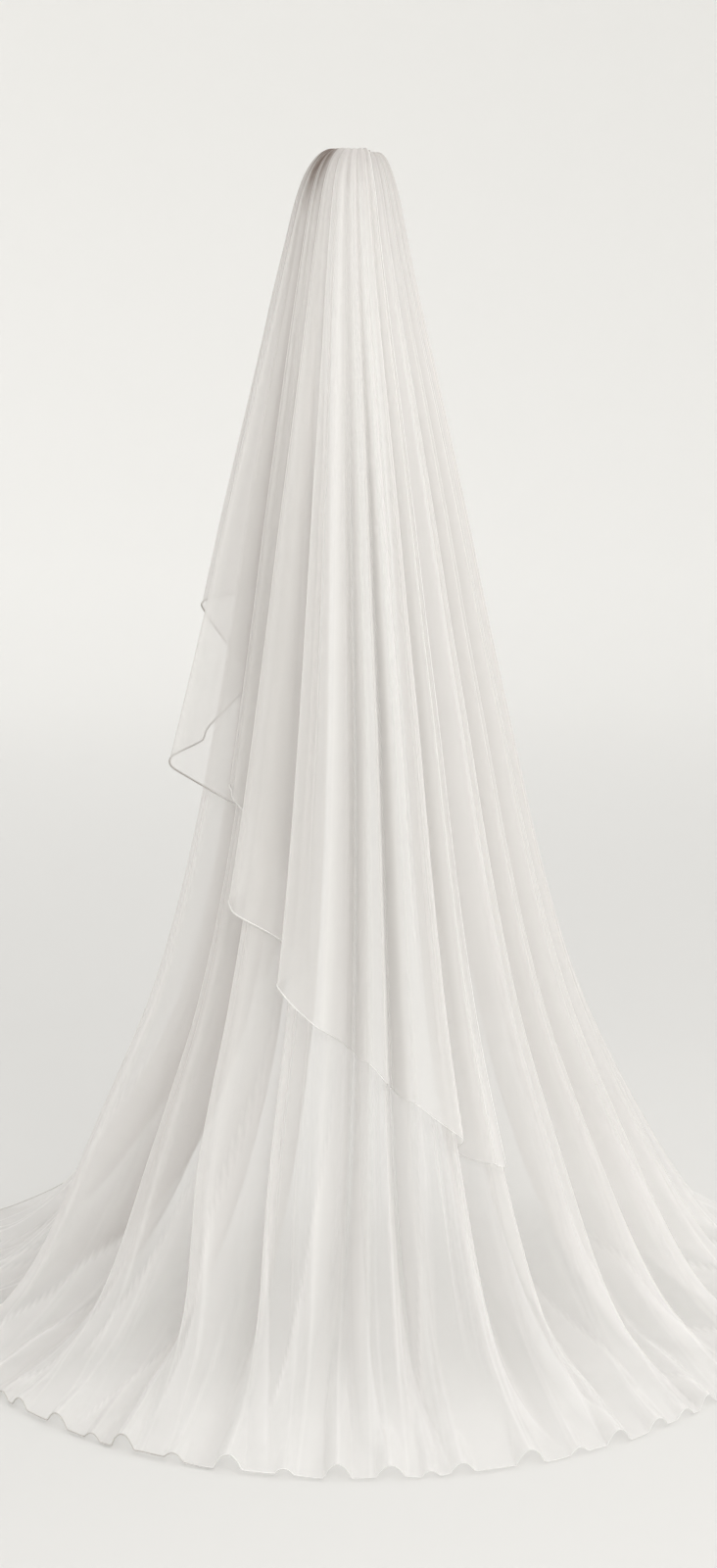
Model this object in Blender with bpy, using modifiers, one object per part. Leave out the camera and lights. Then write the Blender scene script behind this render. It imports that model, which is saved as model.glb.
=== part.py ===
"""Bridal veil of two tiers of tulle, gathered onto a hair comb and filled out with no wearer.

The origin is the middle of the comb at the crown, +Z is up and the train trails towards -Y. Heights in the
tables are measured from the floor that the train lies on. An azimuth is in degrees round the veil: 0 is the
middle of the back, -90 the left side as seen from behind, 90 the right side and 180 the open front.
"""

import math

import bmesh
import bpy
import numpy as np

COMB_HEIGHT = 1.668
WALL = 0.0016
SEAM_GAP = 0.0007

SPINE_HALF_WIDTH = 0.0225
SPINE_HALF_DEPTH = 0.0042
SPINE_BELOW = 0.006
SPINE_ABOVE = 0.007
SPINE_SIDES = 40
TOOTH_COUNT = 11
TOOTH_SPREAD = 0.0185
TOOTH_LENGTH = 0.036
TOOTH_ROOT_RADIUS = 0.0009
TOOTH_TIP_RADIUS = 0.0005
TOOTH_ROOT_INSIDE = 0.003
TOOTH_TILT = math.radians(28)
TOOTH_SIDES = 6

SEAM_HALF_WIDTH = SPINE_HALF_WIDTH + SEAM_GAP
SEAM_HALF_DEPTH = SPINE_HALF_DEPTH + SEAM_GAP
FLOOR_SKIN = WALL / 2 + 0.0004

# The form under the folds, a row for each level from the comb down to the floor and out to the hem
SECTION_COLUMNS = ("height", "half_width", "back", "front", "shift")
SECTIONS = (
    (1.668, SEAM_HALF_WIDTH, SEAM_HALF_DEPTH, SEAM_HALF_DEPTH, 0.000),
    (1.670, 0.032, 0.016, 0.014, 0.000),
    (1.664, 0.045, 0.036, 0.026, -0.002),
    (1.640, 0.058, 0.060, 0.040, -0.005),
    (1.600, 0.068, 0.080, 0.053, -0.006),
    (1.530, 0.079, 0.098, 0.068, -0.006),
    (1.420, 0.095, 0.116, 0.088, -0.004),
    (1.280, 0.113, 0.135, 0.107, 0.000),
    (1.130, 0.129, 0.154, 0.125, 0.004),
    (0.980, 0.144, 0.174, 0.145, 0.008),
    (0.830, 0.161, 0.198, 0.167, 0.012),
    (0.680, 0.181, 0.228, 0.192, 0.014),
    (0.540, 0.206, 0.264, 0.218, 0.015),
    (0.410, 0.240, 0.307, 0.250, 0.015),
    (0.300, 0.285, 0.357, 0.310, 0.014),
    (0.205, 0.338, 0.414, 0.400, 0.013),
    (0.128, 0.398, 0.476, 0.530, 0.012),
    (0.070, 0.462, 0.545, 0.700, 0.011),
    (0.030, 0.525, 0.622, 0.860, 0.010),
    (0.008, 0.583, 0.705, 0.970, 0.010),
    (FLOOR_SKIN, 0.620, 0.795, 1.030, 0.010),
    (FLOOR_SKIN, 0.645, 0.882, 1.060, 0.010),
)

# How deep the folds are at each section, as a share of their depth at the middle of the skirt
GROWTH = (
    0.00, 0.01, 0.02, 0.035, 0.06, 0.10, 0.18, 0.31, 0.47, 0.62, 0.77,
    0.90, 1.02, 1.12, 1.18, 1.16, 1.02, 0.80, 0.56, 0.38, 0.26, 0.20,
)

# Which way a fold leans out, as an azimuth, for the azimuth that it stands at
LEAN_COLUMNS = ("azimuth", "direction")
LEANS = (
    (-152, -150), (-125, -112), (-100, -95), (-80, -90), (-45, -88), (-30, -80), (-20, -66),
    (-12, -40), (-5, -12), (2, 2), (20, 24), (45, 58), (70, 84), (90, 95), (110, 108), (130, 128), (152, 150),
)

FOLD_COLUMNS = ("start", "valley", "crest_from", "crest_to", "depth")
LONG_FOLDS = (
    (-152, 0.000, -148, -144, 0.012),
    (-139, 0.000, -134, -130, 0.018),
    (-124, 0.000, -118, -113, 0.024),
    (-106, 0.000, -100, -94, 0.035),
    (-87, 0.000, -81, -77, 0.035),
    (-69, -0.050, -60, -57, 0.102),
    (-49, 0.000, -42, -38, 0.080),
    (-30, 0.000, -25, -22, 0.096),
    (-17.5, 0.000, -14.5, -7, 0.070),
    (-3.5, 0.000, 1.0, 5.0, 0.065),
    (7.5, 0.000, 9.5, 19, 0.075),
    (21.5, 0.000, 24, 28, 0.070),
    (31, 0.000, 35, 40, 0.085),
    (43.5, 0.000, 47, 51, 0.080),
    (54, 0.000, 57, 61, 0.090),
    (65, 0.000, 70, 75, 0.085),
    (80, 0.000, 86, 92, 0.080),
    (98, 0.000, 104, 109, 0.050),
    (115, 0.000, 120, 126, 0.030),
    (133, 0.000, 137, 142, 0.018),
    (146, 0.000, 148, 150, 0.010),
)
LONG_END = 152
# How rounded a fold's sides are: 0 is straight and 1 is a full S
FLANK_EASE = 0.5
# The part of a section over which the cloth's slope is measured
SLOPE_STEP = 0.05

# The short tier's own folds, which stand out past the folds of the long tier under them
SHORT_FOLDS = (
    (-150, 0.000, -140, -134, 0.030),
    (-126, 0.000, -101, -98, 0.145),
    (-64, -0.045, -57, -55, 0.160),
    (-47, 0.000, -42, -38, 0.080),
    (-30, 0.000, -25, -22, 0.108),
    (-17.5, 0.000, -14.5, -7, 0.080),
    (-3.5, 0.000, 1.0, 5.0, 0.074),
    (7.5, 0.000, 9.5, 19, 0.084),
    (21.5, 0.000, 24, 25, 0.078),
)
SHORT_END = 27

# Small folds that only open out low down, over the train
TRAIN_FOLD_COLUMNS = ("azimuth", "half_width", "depth")
TRAIN_FOLDS = (
    (-91, 3.0, 0.030),
    (-53.5, 3.0, 0.036),
    (-34, 2.5, 0.034),
    (-27.5, 1.5, 0.028),
    (-19.8, 2.2, 0.030),
    (-5.2, 1.7, 0.034),
    (6.3, 1.2, 0.028),
    (14.5, 2.0, 0.036),
    (20.2, 1.2, 0.028),
    (29.6, 1.5, 0.030),
    (41.8, 1.7, 0.032),
    (52.5, 1.5, 0.028),
    (78, 3.0, 0.032),
    (95, 3.0, 0.028),
)
TRAIN_FOLD_STARTS = 12.5
TRAIN_FOLD_FULL = 17.0

# Where the cloth ends, as the section that the hem reaches at each azimuth
HEM_COLUMNS = ("azimuth", "section")
LONG_HEM = (
    (-152, 12.5), (-146, 12.6), (-138, 13.0), (-128, 13.8), (-119, 15.2), (-110, 18.6), (-105, 20.3), (-99, 21.0),
    (99, 21.0), (105, 20.3), (110, 18.6), (119, 15.2), (128, 13.8), (138, 13.0), (146, 12.6), (152, 12.5),
)
SHORT_HEM = (
    (-150, 8.55), (-126, 8.6), (-101, 8.85), (-98, 8.9), (-64, 9.65), (-57, 10.4), (-55, 10.5), (-47, 10.85),
    (-42, 10.55), (-38, 10.70), (-30, 11.25), (-25, 11.72), (-22, 11.87), (-17.5, 12.17), (-14.5, 12.5),
    (-7, 12.98), (-3.5, 13.1), (1, 13.35), (5, 13.65), (7.5, 13.5), (9.5, 13.9), (19, 14.5), (21.5, 14.3),
    (24, 14.85), (27, 14.9),
)

GAP_COLUMNS = ("section", "gap")
TIER_GAPS = ((0, 0.0024), (3, 0.0045), (8, 0.0100), (13, 0.0140))

# Rows down to this section run level in both tiers, and the rest spread out evenly down to the hem
LONG_LEVEL_ROWS = 12
LONG_ROW_COUNT = 22
SHORT_LEVEL_ROWS = 8
SHORT_ROW_COUNT = 15

# Columns closer together than this many degrees share a place
CLOSEST_COLUMNS = 0.9

TULLE = (0.93, 0.925, 0.90, 1.0)
METAL = (0.42, 0.40, 0.37, 1.0)


def column(rows, columns, name):
    """The named column of a table as an array."""
    number = columns.index(name)
    return np.array([row[number] for row in rows], dtype=float)


def table_line(rows, columns, place):
    """Reads a table's second column along its first one, on straight lines between its rows."""
    return np.interp(place, column(rows, columns, columns[0]), column(rows, columns, columns[1]))


def smooth_read(values, place):
    """Reads a column at a place between its rows, on a smooth curve through them."""
    values = np.asarray(values, dtype=float)
    last = len(values) - 1
    place = np.clip(place, 0, last)
    low = np.minimum(np.floor(place).astype(int), last - 1)
    part = place - low
    before = values[np.maximum(low - 1, 0)]
    here = values[low]
    after = values[low + 1]
    beyond = values[np.minimum(low + 2, last)]
    leave = (after - before) / 2
    arrive = (beyond - here) / 2
    bend = 3 * (after - here) - 2 * leave - arrive
    twist = 2 * (here - after) + leave + arrive
    return here + part * (leave + part * (bend + part * twist))


def fold_shape(folds, end, azimuth):
    """How far out the folds stand at an azimuth: 0 in a valley and the fold's depth on its crest."""
    knots = []
    depths = []
    for start, valley, crest_from, crest_to, depth in folds:
        knots += [start, crest_from, crest_to]
        depths += [valley, depth, depth]
    knots.append(end)
    depths.append(0.0)
    low = np.clip(np.searchsorted(knots, azimuth, side="right") - 1, 0, len(knots) - 2)
    knots = np.array(knots)
    depths = np.array(depths)
    part = np.clip((azimuth - knots[low]) / (knots[low + 1] - knots[low]), 0, 1)
    eased = part + FLANK_EASE * (part * part * (3 - 2 * part) - part)
    return depths[low] + (depths[low + 1] - depths[low]) * eased


def train_shape(azimuth):
    """The small low folds, each on its own between two valleys."""
    total = np.zeros_like(azimuth)
    for middle, half_width, depth in TRAIN_FOLDS:
        total = np.maximum(total, depth * (1 - np.abs(azimuth - middle) / half_width))
    return total


def long_depth(azimuth, section):
    """How far the long tier stands out from the sections."""
    opened = np.clip((section - TRAIN_FOLD_STARTS) / (TRAIN_FOLD_FULL - TRAIN_FOLD_STARTS), 0, 1)
    main = fold_shape(LONG_FOLDS, LONG_END, azimuth) * smooth_read(GROWTH, section)
    return np.maximum(main, train_shape(azimuth) * opened)


def short_depth(azimuth, section):
    """How far the short tier stands out: past the long tier everywhere, and further in its own folds."""
    gap = table_line(TIER_GAPS, GAP_COLUMNS, section)
    own = fold_shape(SHORT_FOLDS, SHORT_END, azimuth) * smooth_read(GROWTH, section)
    return np.maximum(own, long_depth(azimuth, section)) + gap


def section_value(name, section):
    """A named size of the form under the folds, at a section or between two of them."""
    return smooth_read(column(SECTIONS, SECTION_COLUMNS, name), section)


def point_on(azimuth, section, depth):
    """The place of a point of the cloth, from its azimuth, its section and how far it stands out."""
    turn = np.radians(azimuth)
    reach = np.where(np.cos(turn) > 0, section_value("back", section), section_value("front", section))
    run = section_value("back", section + SLOPE_STEP) - section_value("back", section - SLOPE_STEP)
    fall = section_value("height", section - SLOPE_STEP) - section_value("height", section + SLOPE_STEP)
    slope = np.clip(np.arctan2(run, fall), 0, math.pi / 2)
    direction = np.radians(table_line(LEANS, LEAN_COLUMNS, azimuth))
    outward = depth * np.cos(slope)
    x = section_value("shift", section) + section_value("half_width", section) * np.sin(turn)
    x = x + outward * np.sin(direction)
    y = -reach * np.cos(turn) - outward * np.cos(direction)
    z = np.maximum(section_value("height", section), FLOOR_SKIN) + depth * np.sin(slope) - COMB_HEIGHT
    return np.stack([x, y, z], axis=-1)


def fold_azimuths(folds, end):
    """The azimuths of a tier's columns: the valleys, the two sides of each crest and the last edge."""
    found = []
    for start, _, crest_from, crest_to, _ in folds:
        found += [start, crest_from, crest_to]
    return found + [end]


def tier_azimuths(first, last):
    """The columns that both tiers share between two azimuths, so that their walls stay apart."""
    found = fold_azimuths(LONG_FOLDS, LONG_END)
    more = fold_azimuths(SHORT_FOLDS, SHORT_END)
    for middle, half_width, _ in TRAIN_FOLDS:
        more += [middle - half_width, middle, middle + half_width]
    for azimuth in more:
        if min(abs(azimuth - other) for other in found) > CLOSEST_COLUMNS:
            found.append(azimuth)
    inside = sorted(azimuth for azimuth in found if first < azimuth < last)
    return np.array([first] + inside + [last], dtype=float)


def new_object(name, mesh, collection, colour, roughness, metallic=0.0):
    """An object with its own plain material, linked into its collection."""
    material = bpy.data.materials.new(name + "_material")
    material.use_nodes = True
    shader = material.node_tree.nodes["Principled BSDF"]
    shader.inputs["Base Color"].default_value = colour
    shader.inputs["Roughness"].default_value = roughness
    shader.inputs["Metallic"].default_value = metallic
    mesh.materials.append(material)
    made = bpy.data.objects.new(name, mesh)
    collection.objects.link(made)
    return made


def make_tier(name, azimuths, section_rows, depth_of, collection):
    """A tier of tulle: a sheet through its columns and rows, thickened to a wall."""
    rows, columns = section_rows.shape
    spread = np.broadcast_to(azimuths, (rows, columns))
    points = point_on(spread, section_rows, depth_of(spread, section_rows))
    build = bmesh.new()
    grid = [[build.verts.new(points[r, c]) for c in range(columns)] for r in range(rows)]
    for r in range(rows - 1):
        for c in range(columns - 1):
            build.faces.new((grid[r][c], grid[r + 1][c], grid[r + 1][c + 1], grid[r][c + 1]))
    bmesh.ops.triangulate(build, faces=build.faces, quad_method="SHORT_EDGE")
    bmesh.ops.recalc_face_normals(build, faces=build.faces)
    mesh = bpy.data.meshes.new(name)
    build.to_mesh(mesh)
    build.free()
    tier = new_object(name, mesh, collection, TULLE, 0.8)
    solidify = tier.modifiers.new("wall", "SOLIDIFY")
    solidify.thickness = WALL
    solidify.offset = 0.0
    return tier


def row_sections(hem, level_rows, row_count):
    """The section of each row at each column."""
    level = np.broadcast_to(np.arange(level_rows + 1.0)[:, None], (level_rows + 1, len(hem)))
    shares = np.linspace(0, 1, row_count - level_rows)[1:, None]
    return np.concatenate([level, level_rows + shares * (hem[None, :] - level_rows)])


def make_long_tier(collection):
    """The long tier, from the comb down to the hem of the train, open at the front."""
    azimuths = tier_azimuths(-LONG_END, LONG_END)
    hem = table_line(LONG_HEM, HEM_COLUMNS, azimuths)
    sections = row_sections(hem, LONG_LEVEL_ROWS, LONG_ROW_COUNT)
    return make_tier("long_tier", azimuths, sections, long_depth, collection)


def make_short_tier(collection):
    """The short tier over it, whose hem falls in a cascade from the left side to the back of the train."""
    azimuths = tier_azimuths(SHORT_FOLDS[0][0], SHORT_END)
    hem = table_line(SHORT_HEM, HEM_COLUMNS, azimuths)
    sections = row_sections(hem, SHORT_LEVEL_ROWS, SHORT_ROW_COUNT)
    return make_tier("short_tier", azimuths, sections, short_depth, collection)


def make_comb(collection, cutters):
    """The hair comb: an oval spine that both tiers are sewn round, and teeth that point down and forward."""
    build = bmesh.new()
    height = SPINE_ABOVE + SPINE_BELOW
    bmesh.ops.create_cone(
        build, cap_ends=True, segments=SPINE_SIDES, radius1=1.0, radius2=1.0, depth=height
    )
    bmesh.ops.scale(build, vec=(SPINE_HALF_WIDTH, SPINE_HALF_DEPTH, 1.0), verts=build.verts)
    bmesh.ops.translate(build, vec=(0, 0, SPINE_ABOVE - height / 2), verts=build.verts)
    mesh = bpy.data.meshes.new("comb")
    build.to_mesh(mesh)
    build.free()
    comb = new_object("comb", mesh, collection, METAL, 0.35, 1.0)

    teeth = bmesh.new()
    length = TOOTH_LENGTH + TOOTH_ROOT_INSIDE
    for x in np.linspace(-TOOTH_SPREAD, TOOTH_SPREAD, TOOTH_COUNT):
        made = bmesh.ops.create_cone(
            teeth, cap_ends=True, segments=TOOTH_SIDES,
            radius1=TOOTH_TIP_RADIUS, radius2=TOOTH_ROOT_RADIUS, depth=length,
        )
        for vertex in made["verts"]:
            down = TOOTH_ROOT_INSIDE - (length / 2 - vertex.co.z)
            side = vertex.co.y
            vertex.co.x += x
            vertex.co.y = side * math.cos(TOOTH_TILT) - down * math.sin(TOOTH_TILT)
            vertex.co.z = down * math.cos(TOOTH_TILT) + side * math.sin(TOOTH_TILT) - SPINE_BELOW
    teeth_mesh = bpy.data.meshes.new("comb_teeth")
    teeth.to_mesh(teeth_mesh)
    teeth.free()
    cutter = bpy.data.objects.new("comb_teeth", teeth_mesh)
    cutters.objects.link(cutter)
    cutter.hide_render = True
    cutter.display_type = "WIRE"
    join = comb.modifiers.new("teeth", "BOOLEAN")
    join.operation = "UNION"
    join.object = cutter
    return comb


def main():
    for old in list(bpy.data.objects):
        bpy.data.objects.remove(old, do_unlink=True)
    veil = bpy.data.collections.new("veil")
    cutters = bpy.data.collections.new("veil_cutters")
    bpy.context.scene.collection.children.link(veil)
    bpy.context.scene.collection.children.link(cutters)
    make_long_tier(veil)
    make_short_tier(veil)
    make_comb(veil, cutters)


main()
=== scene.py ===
import math

import bpy
import numpy as np
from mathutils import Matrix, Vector


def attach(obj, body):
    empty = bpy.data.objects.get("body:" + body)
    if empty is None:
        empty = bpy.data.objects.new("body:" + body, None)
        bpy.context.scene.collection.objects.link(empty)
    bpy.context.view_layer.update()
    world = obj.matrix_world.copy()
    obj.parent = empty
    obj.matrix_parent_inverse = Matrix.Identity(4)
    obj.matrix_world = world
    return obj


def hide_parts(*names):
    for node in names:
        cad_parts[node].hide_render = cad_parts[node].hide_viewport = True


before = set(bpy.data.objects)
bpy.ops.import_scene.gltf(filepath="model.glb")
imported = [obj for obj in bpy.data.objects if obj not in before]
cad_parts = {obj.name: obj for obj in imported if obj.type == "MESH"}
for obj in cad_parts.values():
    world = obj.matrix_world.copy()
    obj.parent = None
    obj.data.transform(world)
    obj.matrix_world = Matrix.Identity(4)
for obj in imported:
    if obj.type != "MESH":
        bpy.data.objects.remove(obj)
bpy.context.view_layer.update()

# Lengths are in metres, and the comb's spine is the origin. An azimuth is in degrees, 0 at the middle of
# the back and growing to the right. A section is a row of SECTIONS, from 0 at the comb to 21 at the hem,
# or a place between two rows.
COMB_HEIGHT = 1.668
FLOOR = -COMB_HEIGHT
# The seam round the comb's spine, and how high the lowest cloth lies over the floor
SEAM_HALF_WIDTH = 0.0232
SEAM_HALF_DEPTH = 0.0049
FLOOR_SKIN = 0.0012

# The form under the folds, the same as in the solids. Heights are over the floor.
SECTION_COLUMNS = ("height", "half_width", "back", "front", "shift")
SECTIONS = (
    (1.668, SEAM_HALF_WIDTH, SEAM_HALF_DEPTH, SEAM_HALF_DEPTH, 0.000),
    (1.670, 0.032, 0.016, 0.014, 0.000),
    (1.664, 0.045, 0.036, 0.026, -0.002),
    (1.640, 0.058, 0.060, 0.040, -0.005),
    (1.600, 0.068, 0.080, 0.053, -0.006),
    (1.530, 0.079, 0.098, 0.068, -0.006),
    (1.420, 0.095, 0.116, 0.088, -0.004),
    (1.280, 0.113, 0.135, 0.107, 0.000),
    (1.130, 0.129, 0.154, 0.125, 0.004),
    (0.980, 0.144, 0.174, 0.145, 0.008),
    (0.830, 0.161, 0.198, 0.167, 0.012),
    (0.680, 0.181, 0.228, 0.192, 0.014),
    (0.540, 0.206, 0.264, 0.218, 0.015),
    (0.410, 0.240, 0.307, 0.250, 0.015),
    (0.300, 0.285, 0.357, 0.310, 0.014),
    (0.205, 0.338, 0.414, 0.400, 0.013),
    (0.128, 0.398, 0.476, 0.530, 0.012),
    (0.070, 0.462, 0.545, 0.700, 0.011),
    (0.030, 0.525, 0.622, 0.860, 0.010),
    (0.008, 0.583, 0.705, 0.970, 0.010),
    (FLOOR_SKIN, 0.620, 0.795, 1.030, 0.010),
    (FLOOR_SKIN, 0.645, 0.882, 1.060, 0.010),
)
# How much of its full depth a fold has at each section
GROWTH = (
    0.00, 0.01, 0.02, 0.035, 0.06, 0.10, 0.18, 0.31, 0.47, 0.62, 0.77,
    0.90, 1.02, 1.12, 1.18, 1.16, 1.02, 0.80, 0.56, 0.34, 0.16, 0.05,
)
# The direction in which a fold stands out, at an azimuth
LEANS = (
    (-152, -150), (-125, -112), (-100, -95), (-80, -90), (-45, -88), (-30, -80),
    (-20, -66), (-12, -40), (-5, -12), (2, 2), (20, 24), (45, 58),
    (70, 84), (90, 95), (110, 108), (130, 128), (152, 150),
)

# start, valley, crest_from, crest_to and depth of each main fold
LONG_FOLDS = (
    (-152, 0.000, -148, -144, 0.012),
    (-139, 0.000, -134, -130, 0.018),
    (-124, 0.000, -118, -113, 0.024),
    (-106, 0.000, -100, -94, 0.035),
    (-87, 0.000, -81, -77, 0.035),
    (-69, -0.050, -60, -57, 0.102),
    (-49, 0.000, -42, -38, 0.080),
    (-30, 0.000, -25, -22, 0.096),
    (-17.5, 0.000, -14.5, -7, 0.070),
    (-3.5, 0.000, 1.0, 5.0, 0.065),
    (7.5, 0.000, 9.5, 19, 0.075),
    (21.5, 0.000, 24, 28, 0.070),
    (31, 0.000, 35, 40, 0.085),
    (43.5, 0.000, 47, 51, 0.080),
    (54, 0.000, 57, 61, 0.090),
    (65, 0.000, 70, 75, 0.085),
    (80, 0.000, 86, 92, 0.080),
    (98, 0.000, 104, 109, 0.050),
    (115, 0.000, 120, 126, 0.030),
    (133, 0.000, 137, 142, 0.018),
    (146, 0.000, 148, 150, 0.010),
)
LONG_END = 152
SHORT_FOLDS = (
    (-150, 0.000, -140, -134, 0.030),
    (-126, 0.000, -101, -98, 0.145),
    (-64, -0.045, -57, -55, 0.160),
    (-47, 0.000, -42, -38, 0.080),
    (-30, 0.000, -25, -22, 0.108),
    (-17.5, 0.000, -14.5, -7, 0.080),
    (-3.5, 0.000, 1.0, 5.0, 0.074),
    (7.5, 0.000, 9.5, 19, 0.084),
    (21.5, 0.000, 24, 25, 0.078),
)
SHORT_START = -150
SHORT_END = 27
# How hollow the folds' sides are at an azimuth: 0 is straight and 1 falls steeply from the crest into
# a round valley
HOLLOWS = (
    (-130, 0.5), (-126, 0.0), (-49, 0.0), (-35, 0.2), (-17, 0.5),
    (0, 0.6), (20, 0.5), (40, 0.3), (152, 0.3),
)
# How far to each side the sections are read that give the form's slope
SLOPE_STEP = 0.05

# How far to each side, in degrees, a fold's corners are rounded, and the weight of each step
ROUNDING = ((-0.8, 1), (-0.4, 2), (0.0, 3), (0.4, 2), (0.8, 1))

# The section that each hem reaches, at an azimuth
LONG_HEM = (
    (-152, 12.5), (-146, 12.6), (-138, 13.0), (-128, 13.8), (-119, 15.2), (-110, 18.6),
    (-105, 20.3), (-99, 21.0), (99, 21.0), (105, 20.3), (110, 18.6), (119, 15.2),
    (128, 13.8), (138, 13.0), (146, 12.6), (152, 12.5),
)
SHORT_HEM = (
    (-150, 8.55), (-126, 8.6), (-101, 8.85), (-98, 8.9), (-64, 9.65), (-57, 10.4),
    (-55, 10.5), (-47, 10.85), (-42, 10.55), (-38, 10.70), (-30, 11.25), (-25, 11.72),
    (-22, 11.87), (-17.5, 12.17), (-14.5, 12.5), (-7, 12.98), (-3.5, 13.1), (1, 13.35),
    (5, 13.65), (7.5, 13.5), (9.5, 13.9), (19, 14.5), (21.5, 14.3), (24, 14.85),
    (27, 14.9),
)
# How far the short tier stands off the long one, by section
TIER_GAPS = ((0, 0.0024), (3, 0.0045), (8, 0.0100), (13, 0.0140))

# Soft creases in the skirt: the azimuth at the top and at the foot, the first and last section,
# the half width in degrees and the depth, which is negative for a trough
LONG_CREASES = (
    (-147, -149, 5, 13, 2.0, 0.004),
    (-137, -136, 7, 14, 1.8, -0.005),
    (-128, -126, 4, 13, 2.4, 0.006),
    (-116, -117, 8, 15, 1.6, -0.006),
    (-110, -112, 5, 17, 2.2, 0.008),
    (-97, -99, 6, 18, 1.7, 0.007),
    (-90, -88, 9, 20, 2.5, 0.010),
    (-79, -80, 5, 16, 1.3, -0.006),
    (-73, -72, 8, 20, 2.0, 0.012),
    (-65, -64, 10, 19, 1.5, 0.009),
    (-58.5, -57, 4, 15, 1.0, -0.005),
    (-53, -52, 9, 20, 1.6, 0.012),
    (-45, -46, 6, 18, 1.2, 0.007),
    (-40, -40, 4, 16, 0.9, -0.006),
    (-34, -35, 8, 20, 1.4, 0.011),
    (-27.5, -28, 6, 17, 0.9, 0.006),
    (-23.5, -23, 3, 14, 0.7, -0.004),
    (-20, -19, 9, 19, 1.0, 0.010),
    (-12.5, -13, 4, 18, 0.8, -0.006),
    (-9.5, -9, 6, 20, 0.9, 0.006),
    (-5, -4.5, 8, 18, 0.8, 0.008),
    (2.2, 2.6, 3, 17, 0.8, -0.005),
    (6.3, 6.0, 9, 20, 0.8, 0.009),
    (11.5, 11.0, 5, 16, 0.9, 0.005),
    (14.2, 15.0, 4, 19, 1.0, -0.008),
    (17, 17.4, 7, 20, 0.9, 0.006),
    (20.4, 20.6, 8, 18, 0.8, 0.009),
    (26, 25.6, 3, 15, 0.9, -0.006),
    (29.8, 30.2, 9, 20, 1.1, 0.010),
    (37.4, 38, 5, 18, 1.1, -0.007),
    (42, 41.5, 8, 20, 1.2, 0.010),
    (49, 49.6, 4, 16, 1.2, -0.006),
    (53, 52.5, 9, 20, 1.2, 0.009),
    (59, 58, 5, 17, 1.1, -0.007),
    (63.5, 63, 8, 20, 1.5, 0.010),
    (72.5, 72, 4, 18, 1.4, -0.007),
    (78, 78, 7, 20, 1.8, 0.010),
    (89, 90, 5, 17, 1.7, -0.008),
    (95, 96, 8, 20, 1.9, 0.010),
    (106, 107, 5, 16, 1.6, -0.006),
    (112, 113, 7, 15, 2.0, 0.008),
    (123, 122, 5, 14, 1.6, -0.005),
    (129, 130, 7, 14, 2.0, 0.006),
    (140, 139, 5, 13, 1.5, -0.004),
    (144, 145, 8, 13, 1.8, 0.004),
)
SHORT_CREASES = (
    (-143, -144, 3, 9, 2.2, 0.004),
    (-131, -130, 5, 9, 2.0, 0.006),
    (-120, -118, 4, 9, 2.0, -0.006),
    (-112, -111, 3, 9, 1.6, 0.007),
    (-106, -107, 6, 9, 1.4, -0.005),
    (-92, -93, 4, 9.5, 1.8, 0.007),
    (-84, -83, 3, 9.5, 1.6, -0.005),
    (-76, -77, 5, 10, 1.8, 0.006),
    (-70, -69, 4, 10, 1.4, -0.006),
    (-60.5, -61, 3, 10, 1.0, 0.005),
    (-51.5, -51, 5, 11, 1.2, 0.007),
    (-44.5, -45, 3, 10, 0.9, -0.005),
    (-34.5, -34, 4, 11, 1.3, 0.007),
    (-19.5, -19.5, 5, 12, 0.9, 0.006),
    (-10.5, -10.5, 3, 12, 0.9, -0.006),
    (-5.2, -5, 6, 13, 0.7, 0.005),
    (6.5, 6.2, 5, 13, 0.6, 0.005),
    (12.5, 13, 4, 13, 0.9, -0.005),
    (16.5, 16.5, 6, 14, 0.9, 0.004),
    (23, 23, 5, 14, 0.7, 0.004),
)
# The share of their depth that the creases really get, and of their length over which they fade in and out
CREASE_DEPTH = 0.7
CREASE_FADE_IN = 0.35
CREASE_FADE_OUT = 0.25

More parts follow.
